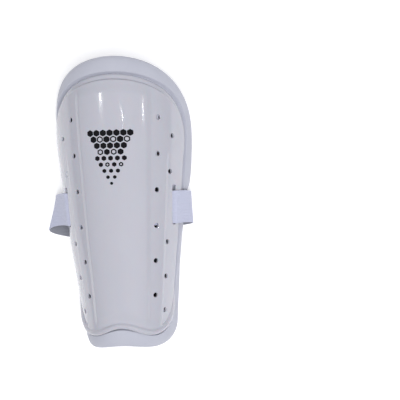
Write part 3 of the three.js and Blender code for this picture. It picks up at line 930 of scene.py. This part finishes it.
back_shader.inputs["Roughness"].default_value = 0.9
back_place = add_node(
    strap_back_painted_shade, "ShaderNodeAttribute", {"attribute_type": "GEOMETRY", "attribute_name": "weave_place"}
).outputs["Vector"]
back_yarn = add_node(
    strap_back_painted_shade, "ShaderNodeTexNoise", {"Scale": 1 / PICK_PITCH, "Detail": 2.0}, {"Vector": back_place}
)
back_painted_shade_tint = add_node(
    strap_back_painted_shade, "ShaderNodeMix",
    {"data_type": "RGBA", "A": linear(BACK_PAINTED_SHADE), "B": linear(BACK_YARN_PAINTED_SHADE)},
    {"Factor": back_yarn.outputs["Fac"]},
)
back_bump = add_node(
    strap_back_painted_shade, "ShaderNodeBump", {"Strength": 0.6, "Distance": BACK_YARN_HEIGHT},
    {"Height": back_yarn.outputs["Fac"]},
)
strap_back_painted_shade.node_tree.links.new(back_painted_shade_tint.outputs["Result"], back_shader.inputs["Base Color"])
strap_back_painted_shade.node_tree.links.new(back_bump.outputs["Normal"], back_shader.inputs["Normal"])
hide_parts("elastic_strap")
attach(strap, "root")

# Print. Black ink, pad printed on the central panel below the knee end: a field of hexagons in rows, whose
# cells shrink towards the foot, some of them open rings. It is a thin film that follows the panel's curve.
PRINT_TOP = 144.3 * MM
PRINT_CENTRE = -1.5 * MM
CELL_ROWS = [
    {"cells": 7, "radius": 2.5 * MM},
    {"cells": 6, "radius": 2.5 * MM},
    {"cells": 5, "radius": 2.4 * MM},
    {"cells": 4, "radius": 2.3 * MM},
    {"cells": 5, "radius": 1.9 * MM},
    {"cells": 4, "radius": 1.75 * MM},
    {"cells": 3, "radius": 1.6 * MM},
    {"cells": 2, "radius": 1.4 * MM},
    {"cells": 1, "radius": 1.2 * MM},
]
CELL_PITCH = 4.65 * MM
ROW_PITCH = 4.5 * MM
CELL_CORNER = 0.18
RING_ROWS = 6
RING_WALL = 0.9 * MM
INK_GAP = 0.02 * MM
INK_THICKNESS = 0.03 * MM


def hexagon_cell(radius, open_ring):
    """A flat hexagon with slightly rounded corners, whole or as a ring."""
    bpy.ops.object.select_all(action="DESELECT")
    bpy.ops.mesh.primitive_circle_add(vertices=6, radius=radius, fill_type="NGON")
    cell = bpy.context.object
    bpy.ops.object.mode_set(mode="EDIT")
    bpy.ops.mesh.select_all(action="SELECT")
    bpy.ops.mesh.bevel(offset=radius * CELL_CORNER, segments=3, affect="VERTICES")
    bpy.ops.mesh.select_all(action="SELECT")
    if open_ring:
        bpy.ops.mesh.inset(thickness=RING_WALL)
        bpy.ops.mesh.delete(type="FACE")
    else:
        bpy.ops.mesh.poke()
        bpy.ops.mesh.subdivide(number_cuts=1)
    bpy.ops.object.mode_set(mode="OBJECT")
    return cell


# In every second of the upper rows, every second cell is an open ring
cells_drawn = []
for row, sizes in enumerate(CELL_ROWS):
    for i in range(sizes["cells"]):
        x = PRINT_CENTRE + (i - (sizes["cells"] - 1) / 2) * CELL_PITCH
        open_ring = (row + 2 * i) % 4 == 3 and row < RING_ROWS
        cell = hexagon_cell(sizes["radius"], open_ring)
        cell.data.transform(Matrix.Translation((x, PRINT_TOP - row * ROW_PITCH, 0)))
        cells_drawn.append(cell)
emblem = join_as_one(cells_drawn, "printed_emblem")
for vertex in emblem.data.vertices:
    vertex.co = (vertex.co.x, vertex.co.y, 0.0)
    vertex.co.z = shell_relief(vertex.co) + INK_GAP
finish_with(emblem, "SOLIDIFY", thickness=INK_THICKNESS, offset=1.0)
bend_piece(emblem)
shade_by_angle(emblem, 40)

# Pad printing ink: a blue-black satin film, 0.03 mm thick, with a slightly uneven tone and gloss where the
# pad lifted.
INK_COLOUR, INK_THIN_COLOUR = "0a0a10", "121218"
INK_MOTTLE = 1.6 * MM

printing_ink, ink_shader = new_material("pad_printing_ink")
ink_shader.inputs["Specular IOR Level"].default_value = 0.15
ink_place = add_node(printing_ink, "ShaderNodeTexCoord").outputs["Object"]
mottle = add_node(
    printing_ink, "ShaderNodeTexNoise", {"Scale": 1 / INK_MOTTLE, "Detail": 4.0}, {"Vector": ink_place}
)
ink_tint = add_node(
    printing_ink, "ShaderNodeMix",
    {"data_type": "RGBA", "A": linear(INK_COLOUR), "B": linear(INK_THIN_COLOUR)},
    {"Factor": mottle.outputs["Fac"]},
)
ink_gloss = add_node(
    printing_ink, "ShaderNodeMapRange", {"To Min": 0.3, "To Max": 0.5}, {"Value": mottle.outputs["Fac"]}
)
printing_ink.node_tree.links.new(ink_tint.outputs["Result"], ink_shader.inputs["Base Color"])
printing_ink.node_tree.links.new(ink_gloss.outputs["Result"], ink_shader.inputs["Roughness"])
emblem.data.materials.append(printing_ink)
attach(emblem, "root")
